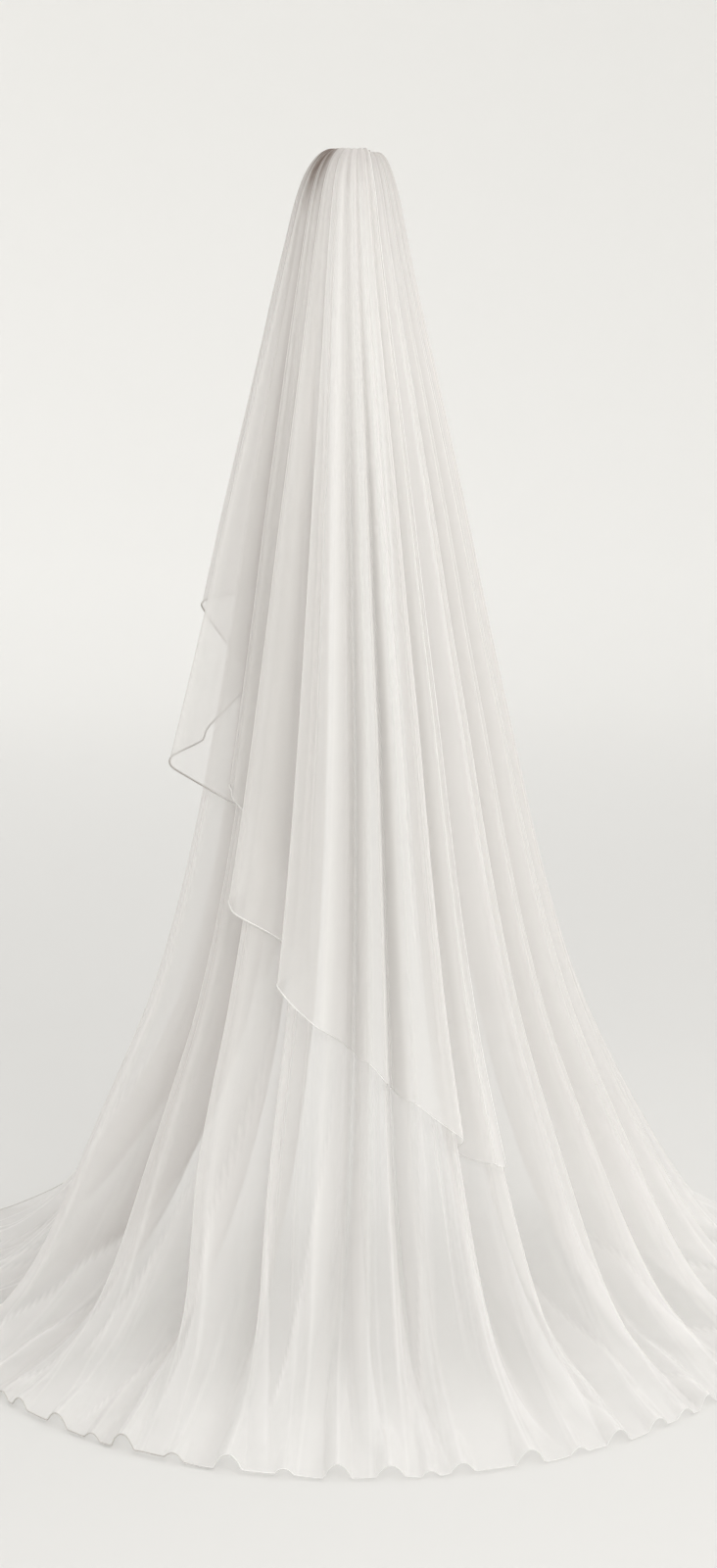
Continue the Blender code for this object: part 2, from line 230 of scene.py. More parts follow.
# Flutes of the train: the azimuth at the hem and where the flute begins, the section where it begins,
# the half width in degrees at the hem and at the beginning, and the height at the hem
FLUTES = (
    (-96, -94, 15.5, 2.5, 4.0, 0.020),
    (-87, -86, 16.0, 2.0, 3.2, 0.016),
    (-79, -78, 15.0, 2.3, 3.4, 0.022),
    (-70.5, -71, 16.5, 1.9, 2.8, 0.015),
    (-63.5, -62, 14.5, 2.1, 3.0, 0.021),
    (-56.5, -57, 16.0, 1.6, 2.4, 0.016),
    (-50.8, -50, 15.0, 1.7, 2.6, 0.018),
    (-46.7, -45, 16.5, 1.2, 1.8, 0.012),
    (-43.3, -41, 14.5, 1.4, 2.4, 0.016),
    (-36.9, -36, 15.5, 1.6, 2.2, 0.019),
    (-31.6, -32, 17.0, 1.1, 1.6, 0.010),
    (-27.4, -28, 14.5, 1.5, 2.2, 0.021),
    (-21.0, -20, 16.5, 1.2, 1.8, 0.012),
    (-14.6, -13, 14.0, 1.6, 2.4, 0.022),
    (-8.4, -9, 16.5, 1.1, 1.6, 0.011),
    (-2.6, -4, 14.5, 1.5, 2.0, 0.020),
    (3.1, 2, 15.5, 1.6, 1.8, 0.018),
    (7.4, 7, 17.5, 1.0, 1.4, 0.009),
    (10.9, 9.5, 14.5, 1.4, 2.0, 0.016),
    (18.6, 17, 15.0, 1.7, 2.2, 0.021),
    (24.6, 24, 17.0, 1.1, 1.6, 0.011),
    (29.8, 29, 14.5, 1.6, 2.2, 0.020),
    (35.6, 34, 15.5, 1.5, 2.0, 0.017),
    (40.0, 40, 16.5, 1.4, 2.0, 0.014),
    (44.2, 45, 15.0, 1.5, 2.4, 0.018),
    (50.4, 50, 16.0, 1.6, 2.4, 0.015),
    (56.8, 57, 14.5, 1.9, 2.8, 0.021),
    (63.6, 64, 16.0, 1.6, 2.4, 0.016),
    (70.8, 70, 15.0, 2.1, 3.0, 0.020),
    (78.8, 80, 16.5, 1.9, 2.8, 0.015),
    (86.5, 86, 15.5, 2.3, 3.4, 0.020),
    (95.0, 94, 16.0, 2.5, 4.0, 0.018),
)
FLUTE_HEM_SECTION = 21
# How full a flute's arch is, and how quickly it rises along its length
FLUTE_FULLNESS = 0.8
FLUTE_RISE = 1.5
# The sections over which the flutes take over from the main folds, and how soft that change is
FLUTES_TAKE_OVER = (15, 19)
SOFT_BLEND = 0.004

# Where the train's cloth lies over itself: the azimuth at the first and at the last section, those two
# sections, and how wide in degrees the doubled cloth is, which is negative when it lies to the left
OVERLAPS = (
    (-84, -97, 14.5, 20.5, 5.0),
    (-72, -90, 15.5, 20.8, 4.0),
    (-66, -83, 13.5, 20.0, 5.5),
    (-60, -76, 16.0, 20.9, 3.5),
    (-55, -67, 13.0, 19.5, 4.5),
    (-50, -61, 15.0, 20.7, 4.0),
    (-45, -53, 12.5, 20.0, 4.0),
    (-38, -49, 15.5, 20.9, 3.5),
    (-33, -40, 13.0, 19.0, 3.5),
    (-28, -35, 14.5, 20.6, 3.0),
    (-20, -26, 12.0, 20.2, 3.5),
    (-14, -10, 14.0, 20.8, -2.5),
    (-6, -12, 13.0, 19.6, 3.0),
    (-1, 3, 12.0, 20.4, -2.5),
    (6, 10, 14.5, 20.9, -2.5),
    (11, 7, 12.5, 19.2, 2.5),
    (16, 23, 13.0, 20.5, -3.5),
    (24, 31, 14.5, 20.8, -3.0),
    (28, 37, 12.5, 19.6, -4.0),
    (37, 46, 15.0, 20.8, -3.5),
    (42, 53, 13.0, 19.8, -4.5),
    (50, 61, 15.5, 20.9, -3.5),
    (56, 70, 13.5, 20.2, -5.0),
    (63, 78, 15.0, 20.7, -4.0),
    (70, 86, 14.0, 20.2, -5.0),
    (78, 95, 15.5, 20.8, -5.0),
)
# How much closer the net looks there, and how fast the doubled cloth bends towards its last azimuth
OVERLAP_COVER = 0.42
OVERLAP_BEND = 1.4
# How wide its sharp side is, in degrees, and the shares of its length over which it fades in and out
OVERLAP_EDGE = 0.35
OVERLAP_FADE_IN = 0.35
OVERLAP_FADE_OUT = 0.15

# Fine gathers: waves round the whole veil, with the share that each adds and its turn in radians
GATHERS = ((29, 0.50, 0.4), (43, 0.35, 2.1), (67, 0.15, 4.0))
# How far the waves wander down the cloth, in radians, how fast, and how far apart they set out
GATHER_DRIFT = 0.9
GATHER_DRIFT_RATE = 0.31
GATHER_DRIFT_START = 3
# How high they stand, by section
GATHER_HEIGHTS = (
    (0, 0.0003), (1, 0.0010), (2, 0.0014), (4, 0.0009),
    (6, 0.0004), (9, 0.0001), (12, 0.0), (21, 0.0),
)
# How much closer the net lies where it is gathered, by section
GATHER_COVER = (
    (0, 0.95), (1, 0.70), (2, 0.45), (4, 0.22),
    (7, 0.12), (12, 0.07), (16, 0.04), (21, 0.02),
)
# How much the gathers' waves change that
GATHER_STREAKS = 0.25
# How far the short tier's gathers are turned from the long tier's
SHORT_TURN = 1.1

# How wide a pressed fold line is, in metres, and how strong it is along the small creases and flutes
FOLD_LINE = 0.0024
LINE_REACH = 0.03
CREASE_SHARE = 0.20
FLUTE_SHARE = 0.6
# The shares of its length over which a crease's line fades in and out
LINE_FADE_IN = 0.3
LINE_FADE_OUT = 0.2
# The height of a flute whose line is at full strength, the least strength, and how quickly it comes in
FLUTE_LINE_HEIGHT = 0.02
FLUTE_LINE_LEAST = 0.4
FLUTE_LINE_RISE = 3
# The sections over which the main folds' lines come in and go out, and how much of them goes
LINES_IN = (1, 4)
LINES_OUT = (17, 20)
LINES_LOST = 0.7
# How far out a fold has to stand to take the full light, and how dark a valley's painted shade is at each
# azimuth
VALLEY_DEPTH = 0.055
VALLEY_SHADE = (
    (-152, 0.30), (-70, 0.40), (-45, 0.50), (-20, 0.42), (-8, 0.15),
    (25, 0.04), (60, 0.05), (152, 0.2),
)
VALLEY_SHADE_IN = (0.5, 5.5)
VALLEY_SHADE_OUT = (15, 19)
VALLEY_SHADE_LOST = 0.75
# How much of that painted shade the short tier's valleys get
SHORT_VALLEY_SHARE = 0.6
# The painted shade on the close gathers at the crown's left: its middle, width, strength, streaks and
# sections
CROWN_SHADE_AZIMUTH = -51
CROWN_SHADE_WIDTH = 24
CROWN_SHADE = 1.15
CROWN_SHADE_STREAKS = 0.3
CROWN_SHADE_IN = (0.6, 2.0)
CROWN_SHADE_OUT = (2.2, 5.6)
# How much shade is painted on the sides, which take less light, and on the top of the crown
SIDE_SHADE = (
    (-152, 0.16), (-60, 0.16), (-30, 0.09), (-10, 0.0),
    (20, 0.0), (45, 0.05), (90, 0.12), (152, 0.16),
)
SIDE_SHADE_OUT = (14, 18)
SIDE_SHADE_LOST = 0.7
CROWN_TOP_SHADE = 0.28
CROWN_TOP_OUT = (1, 7)
# How strong the pressed fold lines are at an azimuth
LINE_STRENGTH = ((-152, 0.8), (-10, 1.0), (15, 0.8), (32, 0.4), (152, 0.45))
# How much closer the net lies in the furrow beside the short tier's right edge
FURROW_COVER = ((-152, 0.0), (25, 0.0), (28, 0.50), (34, 0.50), (39, 0.0), (152, 0.0))
FURROW_IN = (3, 6)
FURROW_OUT = (11, 14)

# How close together the columns of a sheet are at an azimuth
COLUMN_CLOSENESS = ((-152, 1), (-104, 1), (-98, 3), (98, 3), (104, 1), (152, 1))
# In how many steps the closeness is added up
CLOSENESS_STEPS = 3000
# Each sheet's columns and rows of points. The first rows run level, down to a section, and the rest turn
# to follow the hem.
LONG_COLUMNS = 1150
LONG_LEVEL_ROWS = 42
LONG_LEVEL_END = 12
LONG_ROWS = 86
SHORT_COLUMNS = 900
SHORT_LEVEL_ROWS = 52
SHORT_LEVEL_END = 8
SHORT_ROWS = 88
# The thread round the edges
LONG_EDGE_RADIUS = 0.0010
SHORT_EDGE_RADIUS = 0.0013
EDGE_SIDES = 5
# How much finer the thread is on the right, and where, in metres, that begins and over what length
EDGE_TAPER = 0.60
EDGE_TAPER_FROM = -0.11
EDGE_TAPER_LENGTH = 0.10

# The tulle's colour in the light and its painted shade colour, and how much of a fold line takes a lighter
# painted highlight colour
TULLE_LIGHT = (0.95, 0.940, 0.930, 1.0)
TULLE_PAINTED_SHADE = (0.25, 0.195, 0.165, 1.0)
LINE_HIGHLIGHT_COLOUR = (0.96, 0.955, 0.94, 1.0)
LINE_HIGHLIGHT_SHARE = 0.7
# How much of the light a single layer of net stops, the least and the swing of its grain, and the most
TULLE_COVER = 0.30
NET_LEAST = 0.92
NET_SWING = 0.16
MOST_THREADS = 0.95
# How much of the light a pressed fold line stops, seen straight on
LINE_COVER = 0.20
# Seen edge on, the light crosses more net than straight on, up to 1 / STEEPEST times as much
STEEPEST = 0.4
# How much more of the light a fully gathered net stops
GATHERED_COVER = 0.65
# The share of a thread's light that comes through it from behind
THROUGH_SHARE = 0.5
# The net's grain: cells in a metre of cloth
NET_SCALE = 2400.0

# The thread's painted lit colour, and each tier's painted shade colour, which gives way to the lit one
# between two places
THREAD_PAINTED_LIT = (0.97, 0.965, 0.95, 1.0)
LONG_THREAD_PAINTED_SHADE = (0.66, 0.64, 0.61, 1.0)
SHORT_THREAD_PAINTED_SHADE = (0.46, 0.43, 0.40, 1.0)
THREAD_SHADE_END = -0.23
THREAD_LIGHT_START = -0.16
TWIST_SCALE = 900.0
# How dark the furrows of its twist are, and how much of the light the thread stops
TWIST_SHADE = 0.15
THREAD_COVER = 0.85

# The camera's place, tilt in degrees and lens, worked out from the train's round hem in the photo
CAMERA_X = 0.0057
CAMERA_Y = -3.92
CAMERA_HEIGHT = 1.2
CAMERA_TILT = 83.333
CAMERA_LENS = 60.26

# The lights: place, width, power and colour of each, and what both point at
KEY = ((3.7, -0.4, 1.3), 2.4, 26.0, (1.0, 0.99, 0.97))
FILL = ((1.3, -3.7, 1.7), 2.6, 60.0, (1.0, 0.985, 0.965))
LIGHTS_AIM = (0.0, 0.0, -0.8)
SKY_COLOUR = (1.0, 0.995, 0.985, 1.0)
# The stage: how far out its paper is measured, and the paper's tone near the veil and far from it
STAGE_REACH = 14.0
STAGE_NEAR = (0.18, (0.690, 0.685, 0.670, 1.0))
STAGE_FAR = (0.80, (0.920, 0.915, 0.897, 1.0))
# The radii of the floor's rings and of the floor, the wall's bend and its steps, and the sides all round
FLOOR_RINGS = (0.02, 2.0, 5.0)
FLOOR_RADIUS = 9.0
WALL_BEND = 4.0
BEND_STEPS = 12
STAGE_SIDES = 96
# The sky's strength on the left, in the shade, and on the right
SKY_LEFT = 0.73
SKY_RIGHT = 1.35


def table_line(rows, place):
    """Reads a table's second column along its first one, on straight lines between its rows."""
    rows = np.array(rows, dtype=float)
    return np.interp(place, rows[:, 0], rows[:, 1])


def spread_columns(first, last, count):
    """The azimuths of a sheet's columns, closer together at the back, where the smallest flutes are."""
    fine = np.linspace(first, last, CLOSENESS_STEPS)
    passed = np.cumsum(table_line(COLUMN_CLOSENESS, fine))
    return np.interp(np.linspace(passed[0], passed[-1], count), passed, fine)


def smooth_read(values, place):
    """Reads a column at a place between its rows, on a smooth curve through them."""
    values = np.asarray(values, dtype=float)
    last = len(values) - 1
    place = np.clip(place, 0, last)
    low = np.minimum(np.floor(place).astype(int), last - 1)
    part = place - low
    before = values[np.maximum(low - 1, 0)]
    here = values[low]
    after = values[low + 1]
    beyond = values[np.minimum(low + 2, last)]
    leave = (after - before) / 2
    arrive = (beyond - here) / 2
    bend = 3 * (after - here) - 2 * leave - arrive
    twist = 2 * (here - after) + leave + arrive
    return here + part * (leave + part * (bend + part * twist))


def section_value(name, section):
    """A named size of the form under the folds, at a section or between two of them."""
    number = SECTION_COLUMNS.index(name)
    return smooth_read([row[number] for row in SECTIONS], section)


def smooth_step(part):
    """0 to 1 on an S curve."""
    part = np.clip(part, 0, 1)
    return part * part * (3 - 2 * part)


def change(section, span):
    """0 before a span of sections, 1 after it, and a soft change over it."""
    start, end = span
    return smooth_step((section - start) / (end - start))


def sharp_fold(folds, end, azimuth):
    """How far out the main folds stand at an azimuth, with a corner at each knot."""
    knots = []
    depths = []
    for start, valley, crest_from, crest_to, depth in folds:
        knots += [start, crest_from, crest_to]
        depths += [valley, depth, depth]
    knots = np.array(knots + [end], dtype=float)
    depths = np.array(depths + [0.0])
    low = np.clip(np.searchsorted(knots, azimuth, side="right") - 1, 0, len(knots) - 2)
    part = np.clip((azimuth - knots[low]) / (knots[low + 1] - knots[low]), 0, 1)
    rising = depths[low + 1] > depths[low]
    curved = np.where(rising, part ** 2, 1 - (1 - part) ** 2)
    eased = part + table_line(HOLLOWS, azimuth) * (curved - part)
    return depths[low] + (depths[low + 1] - depths[low]) * eased


def fold_shape(folds, end, azimuth):
    """The main folds with rounded corners."""
    total = sum(weight for _, weight in ROUNDING)
    return sum(weight * sharp_fold(folds, end, azimuth + step) for step, weight in ROUNDING) / total


def creases(table, azimuth, section):
    """Soft ridges and troughs, each fading in and out along its length."""
    total = np.zeros_like(azimuth)
    for top, foot, first, last, half_width, depth in table:
        along = (section - first) / (last - first)
        middle = top + (foot - top) * np.clip(along, 0, 1)
        across = np.clip(1 - ((azimuth - middle) / half_width) ** 2, 0, 1) ** 2
        fade = smooth_step(along / CREASE_FADE_IN) * smooth_step((1 - along) / CREASE_FADE_OUT)
        total += CREASE_DEPTH * depth * across * fade
    return total


def flutes(azimuth, section):
    """The train's flutes, which narrow towards the hem and end there as small arches."""
    total = np.zeros_like(azimuth)
    for hem, top, first, hem_half, top_half, height in FLUTES:
        along = np.clip((section - first) / (FLUTE_HEM_SECTION - first), 0, 1)
        middle = top + (hem - top) * smooth_step(along)
        half_width = top_half + (hem_half - top_half) * along
        across = np.clip(1 - ((azimuth - middle) / half_width) ** 2, 0, 1) ** FLUTE_FULLNESS
        total = np.maximum(total, height * across * smooth_step(along * FLUTE_RISE))
    return total


def gathers(azimuth, section):
    """The fine gathers, which start at the comb and run down the cloth, from about -1 to 1."""
    wave = np.zeros_like(azimuth)
    for count, share, turn in GATHERS:
        drift = GATHER_DRIFT * np.sin(GATHER_DRIFT_RATE * section + turn * GATHER_DRIFT_START)
        wave += share * np.sin(np.radians(azimuth) * count + turn + drift)
    return wave


def closeness(azimuth, section):
    """How close the net lies, from 0 to 1: closest at the comb and in the gathers that run down from it."""
    return np.clip(table_line(GATHER_COVER, section) * (1 + GATHER_STREAKS * gathers(azimuth, section)), 0, 1)


def overlaps(azimuth, section):
    """How much closer the net looks where the train lies over itself: sharp at one side of each overlap."""
    total = np.zeros_like(azimuth)
    for top, foot, first, last, width in OVERLAPS:
        along = (section - first) / (last - first)
        start = top + (foot - top) * np.clip(along, 0, 1) ** OVERLAP_BEND
        inward = (azimuth - start) * math.copysign(1.0, width)
        band = smooth_step(inward / OVERLAP_EDGE) * np.clip(1 - inward / abs(width), 0, 1)
        fade = smooth_step(along / OVERLAP_FADE_IN) * smooth_step((1 - along) / OVERLAP_FADE_OUT)
        total = np.maximum(total, band * fade)
    return OVERLAP_COVER * total


def line_at(azimuth, middle, section):
    """A narrow soft line down the cloth."""
    width = np.degrees(FOLD_LINE / (section_value("half_width", section) + LINE_REACH))
    return np.exp(-((azimuth - middle) / width) ** 2)


def pressed_lines(folds, crease_table, azimuth, section):
    """Where the cloth is creased along a fold's edge and its net lies closest, from 0 to 1."""
    total = np.zeros_like(azimuth)
    opened = change(section, LINES_IN) * (1 - LINES_LOST * change(section, LINES_OUT))
    for _, _, crest_from, crest_to, _ in folds:
        total = np.maximum(total, line_at(azimuth, crest_from, section) * opened)
        total = np.maximum(total, line_at(azimuth, crest_to, section) * opened)
    for top, foot, first, last, _, depth in crease_table:
        along = (section - first) / (last - first)
        middle = top + (foot - top) * np.clip(along, 0, 1)
        fade = smooth_step(along / LINE_FADE_IN) * smooth_step((1 - along) / LINE_FADE_OUT)
        if depth > 0:
            total = np.maximum(total, CREASE_SHARE * line_at(azimuth, middle, section) * fade)
    return total * table_line(LINE_STRENGTH, azimuth)


def flute_lines(azimuth, section):
    """The crest line of each of the train's flutes, from 0 to 1."""
    total = np.zeros_like(azimuth)
    for hem, top, first, _, _, height in FLUTES:
        along = np.clip((section - first) / (FLUTE_HEM_SECTION - first), 0, 1)
        middle = top + (hem - top) * smooth_step(along)
        strength = np.clip(height / FLUTE_LINE_HEIGHT, FLUTE_LINE_LEAST, 1.0)
        strength = strength * smooth_step(along * FLUTE_LINE_RISE)
        total = np.maximum(total, FLUTE_SHARE * line_at(azimuth, middle, section) * strength)
    return total


def painted_valley_shade(folds, end, azimuth, section):
    """Painted shade: how much darker a point is painted for lying down between the folds, where less light
    comes: 0 on a crest.
    """
    low = 1 - np.clip(fold_shape(folds, end, azimuth) / VALLEY_DEPTH, 0, 1)
    dark = low ** 2 * table_line(VALLEY_SHADE, azimuth)
    kept = 1 - VALLEY_SHADE_LOST * change(section, VALLEY_SHADE_OUT)
    return dark * change(section, VALLEY_SHADE_IN) * kept


def crown_shade(azimuth, section):
    """Painted shade on the close gathers at the crown's left, where least light comes."""
    across = np.exp(-((azimuth - CROWN_SHADE_AZIMUTH) / CROWN_SHADE_WIDTH) ** 2)
    streaks = 1 + CROWN_SHADE_STREAKS * gathers(azimuth, section)
    down = change(section, CROWN_SHADE_IN) * (1 - change(section, CROWN_SHADE_OUT))
    return CROWN_SHADE * across * streaks * down


def side_shade(azimuth, section):
    """Painted shade on the sides of the veil and its top, which take less light than the middle of the back.
    """
    side = table_line(SIDE_SHADE, azimuth) * (1 - SIDE_SHADE_LOST * change(section, SIDE_SHADE_OUT))
    return side + CROWN_TOP_SHADE * (1 - change(section, CROWN_TOP_OUT))


def soft_larger(first, second, blend):
    """The larger of two depths, with the change from one to the other rounded off."""
    return (first + second + np.sqrt((first - second) ** 2 + blend ** 2)) / 2


def long_depth(azimuth, section):
    """How far the long tier stands out from the sections."""
    main = fold_shape(LONG_FOLDS, LONG_END, azimuth) * smooth_read(GROWTH, section)
    main = main + creases(LONG_CREASES, azimuth, section)
    main = main + gathers(azimuth, section) * table_line(GATHER_HEIGHTS, section)
    fluted = soft_larger(main, flutes(azimuth, section), SOFT_BLEND)
    return main + change(section, FLUTES_TAKE_OVER) * (fluted - main)


def short_depth(azimuth, section):
    """How far the short tier stands out: past the long tier everywhere, and further in its own folds."""
    gap = table_line(TIER_GAPS, section)
    own = fold_shape(SHORT_FOLDS, SHORT_END, azimuth) * smooth_read(GROWTH, section)
    own = own + creases(SHORT_CREASES, azimuth, section)
    own = own + gathers(azimuth + SHORT_TURN, section) * table_line(GATHER_HEIGHTS, section)
    blend = np.minimum(SOFT_BLEND, gap)
    return soft_larger(own, long_depth(azimuth, section), blend) + gap


def long_looks(azimuth, section):
    """The long tier's closeness, pressed lines and painted shade."""
    lines = pressed_lines(LONG_FOLDS, LONG_CREASES, azimuth, section)
    lines = np.maximum(lines, flute_lines(azimuth, section))
    shade = painted_valley_shade(LONG_FOLDS, LONG_END, azimuth, section) + side_shade(azimuth, section)
    close = closeness(azimuth, section) + overlaps(azimuth, section)
    along = change(section, FURROW_IN) * (1 - change(section, FURROW_OUT))
    furrow = table_line(FURROW_COVER, azimuth) * along
    shade = np.clip(np.maximum(shade, crown_shade(azimuth, section)), 0, 1)
    return np.clip(close + furrow, 0, 1), lines, shade


def short_looks(azimuth, section):
    """The short tier's closeness, pressed lines and painted shade."""
    lines = pressed_lines(SHORT_FOLDS, SHORT_CREASES, azimuth, section)
    valleys = SHORT_VALLEY_SHARE * painted_valley_shade(SHORT_FOLDS, SHORT_END, azimuth, section)
    shade = valleys + side_shade(azimuth, section)
    shade = np.clip(np.maximum(shade, crown_shade(azimuth, section)), 0, 1)
    return closeness(azimuth + SHORT_TURN, section), lines, shade


def point_on(azimuth, section, depth):
    """The place of a point of the cloth, from its azimuth, its section and how far it stands out."""
    turn = np.radians(azimuth)
    reach = np.where(np.cos(turn) > 0, section_value("back", section), section_value("front", section))
    run = section_value("back", section + SLOPE_STEP) - section_value("back", section - SLOPE_STEP)
    fall = section_value("height", section - SLOPE_STEP) - section_value("height", section + SLOPE_STEP)
    slope = np.clip(np.arctan2(run, fall), 0, math.pi / 2)
    direction = np.radians(table_line(LEANS, azimuth))
    outward = depth * np.cos(slope)
    x = section_value("shift", section) + section_value("half_width", section) * np.sin(turn)
    x = x + outward * np.sin(direction)
    y = -reach * np.cos(turn) - outward * np.cos(direction)
    z = np.maximum(section_value("height", section) + depth * np.sin(slope), FLOOR_SKIN) - COMB_HEIGHT
    return np.stack([x, y, z], axis=-1)


def link(obj):
    """Puts an object into the scene."""
    bpy.context.scene.collection.objects.link(obj)
    return obj


def mesh_object(name, points, faces, material, uvs=None):
    """An object from points and faces, smooth shaded, with a map where the points have uvs."""
    mesh = bpy.data.meshes.new(name)
    mesh.from_pydata(points.tolist(), [], faces.tolist())
    mesh.polygons.foreach_set("use_smooth", np.ones(len(mesh.polygons), dtype=bool))
    if uvs is not None:
        layer = mesh.uv_layers.new(name="OFBake")
        corners = np.empty(len(mesh.loops), dtype=np.int32)
        mesh.loops.foreach_get("vertex_index", corners)
        layer.data.foreach_set("uv", uvs[corners].astype(np.float32).ravel())
    mesh.materials.append(material)
    mesh.update()
    return link(bpy.data.objects.new(name, mesh))


def tier_shell(
    name, first, last, columns, hem_table, level_end, level_count, row_count, depth_of, looks_of, material,
):
    """One tier as a thin sheet. Returns the object and the path of its hem and its two free edges."""
    azimuths = spread_columns(first, last, columns)
    hem = np.zeros(columns)
    for step, weight in ROUNDING:
        hem += weight * table_line(hem_table, azimuths + step)
    hem /= sum(weight for _, weight in ROUNDING)
    level = np.broadcast_to(np.linspace(0, level_end, level_count)[:, None], (level_count, columns))
    shares = np.linspace(0, 1, row_count - level_count + 1)[1:, None]
    sections = np.concatenate([level, level_end + shares * (hem[None, :] - level_end)])
    spread = np.broadcast_to(azimuths, sections.shape)
    points = point_on(spread, sections, depth_of(spread, sections))
    rows = len(sections)
    number = np.arange(rows * columns).reshape(rows, columns)
    faces = np.stack([number[:-1, :-1], number[1:, :-1], number[1:, 1:], number[:-1, 1:]], axis=-1)
    across = np.broadcast_to(np.linspace(0, 1, columns), sections.shape)
    down = np.broadcast_to(np.linspace(1, 0, rows)[:, None], sections.shape)
    uvs = np.stack([across, down], axis=-1).reshape(-1, 2)
    shell = mesh_object(name, points.reshape(-1, 3), faces.reshape(-1, 4), material, uvs)
    looks = np.ones((points.size // 3, 4), dtype=np.float32)
    for channel, values in enumerate(looks_of(spread, sections)):
        looks[:, channel] = values.ravel()
    # Each point's closeness, pressed lines and painted shade, one to a channel
    layer = shell.data.color_attributes.new("cloth", "FLOAT_COLOR", "POINT")
    layer.data.foreach_set("color", looks.ravel())
    edge = np.concatenate([points[1:, 0], points[-1, 1:-1], points[:0:-1, -1]])
    return shell, edge


def edge_thread(name, path, widest, material):
    """The rolled pencil edge along a sheet's free edges, a thin tube that is finer at the right."""
    radii = widest * (1 - EDGE_TAPER * smooth_step((path[:, 0] - EDGE_TAPER_FROM) / EDGE_TAPER_LENGTH))
    forward = np.gradient(path, axis=0)
    forward /= np.linalg.norm(forward, axis=1)[:, None]
    side = np.cross(forward[0], (0.0, 0.0, 1.0))
    rings = []
    for here, along, radius in zip(path, forward, radii):
        side = side - along * np.dot(side, along)
        side = side / np.linalg.norm(side)
        other = np.cross(along, side)
        for turn in np.linspace(0, 2 * math.pi, EDGE_SIDES, endpoint=False):
            rings.append(here + radius * (math.cos(turn) * side + math.sin(turn) * other))
    number = np.arange(len(path) * EDGE_SIDES).reshape(len(path), EDGE_SIDES)
    turned = np.roll(number, -1, axis=1)
    faces = np.stack([number[:-1], turned[:-1], turned[1:], number[1:]], axis=-1).reshape(-1, 4)
    return mesh_object(name, np.array(rings), faces, material)


class Nodes:
    """Short calls for building a material's node tree."""

    def __init__(self, name):
        self.material = bpy.data.materials.new(name)
        self.material.use_nodes = True
        self.tree = self.material.node_tree
        self.shader = self.tree.nodes["Principled BSDF"]

    def add(self, kind, inputs=(), **settings):
        """A node with its settings, and its inputs given as values or as sockets to link."""
        node = self.tree.nodes.new(kind)
        for name, value in settings.items():
            setattr(node, name, value)
        for name, value in dict(inputs).items():
            self.put(node, name, value)
        return node

    def put(self, node, name, value):
        """Sets or links one input."""
        if isinstance(value, bpy.types.NodeSocket):
            self.tree.links.new(value, node.inputs[name])
        else:
            node.inputs[name].default_value = value

    def math(self, operation, first, second=0.0, third=0.0):
        """The result of a sum of two or three values."""
        return self.add("ShaderNodeMath", {0: first, 1: second, 2: third}, operation=operation).outputs[0]

    def mix(self, share, first, second):
        """A colour between two others."""
        node = self.add("ShaderNodeMix", {0: share, 6: first, 7: second}, data_type="RGBA")
        return node.outputs[2]

    def span(self, value, low, high):
        """A 0 to 1 value spread between two others."""
        return self.add("ShaderNodeMapRange", {"Value": value, "To Min": low, "To Max": high}).outputs[0]


def tulle_material(name):
    """Sheer silk-look tulle: a fine net, closer in its gathers and denser where it is seen edge on.

    Its threads send part of their light back and let part of it through, and its holes show what is behind.
    """
    made = Nodes(name)
    place = made.add("ShaderNodeTexCoord").outputs["Object"]
    looks = made.add("ShaderNodeAttribute", attribute_name="cloth").outputs["Color"]
    close, line, shade = made.add("ShaderNodeSeparateColor", {0: looks}).outputs[:3]
    net = made.add("ShaderNodeTexNoise", {"Vector": place, "Scale": NET_SCALE, "Detail": 0.0}).outputs["Fac"]

    facing = made.add("ShaderNodeLayerWeight", {"Blend": 0.5}).outputs["Facing"]
    straight = made.math("MAXIMUM", made.math("SUBTRACT", 1.0, facing), STEEPEST)
    threads = made.math("MULTIPLY_ADD", net, TULLE_COVER * NET_SWING, TULLE_COVER * NET_LEAST)
    threads = made.math("MULTIPLY_ADD", close, GATHERED_COVER, threads)
    threads = made.math("MULTIPLY_ADD", line, LINE_COVER, threads)
    open_share = made.math("SUBTRACT", 1.0, made.math("MINIMUM", threads, MOST_THREADS))
    seen_through = made.math("POWER", open_share, made.math("DIVIDE", 1.0, straight))

    # Painted shade from the valleys, the crown and the sides, and a painted highlight along the pressed fold
    # lines
    colour = made.mix(shade, TULLE_LIGHT, TULLE_PAINTED_SHADE)
    colour = made.mix(made.math("MULTIPLY", line, LINE_HIGHLIGHT_SHARE), colour, LINE_HIGHLIGHT_COLOUR)
    made.put(made.shader, "Base Color", colour)
    made.put(made.shader, "Roughness", made.span(net, 0.66, 0.80))
    bump = made.add("ShaderNodeBump", {"Strength": 0.06, "Distance": 0.0001, "Height": net}).outputs[0]
    made.put(made.shader, "Normal", bump)
    made.shader.inputs["Specular IOR Level"].default_value = 0.2
    made.shader.inputs["Sheen Weight"].default_value = 0.15
    made.shader.inputs["Sheen Roughness"].default_value = 0.4
    made.shader.inputs["Sheen Tint"].default_value = (1.0, 0.99, 0.97, 1.0)

    let_through = made.add("ShaderNodeBsdfTranslucent", {"Color": colour}).outputs[0]
    threads_lit = made.add(
        "ShaderNodeMixShader", {0: THROUGH_SHARE, 1: made.shader.outputs[0], 2: let_through}
    ).outputs[0]
    hole = made.add("ShaderNodeBsdfTransparent").outputs[0]
    cloth = made.add("ShaderNodeMixShader", {0: seen_through, 1: threads_lit, 2: hole}).outputs[0]
    made.put(made.tree.nodes["Material Output"], "Surface", cloth)
    return made.material


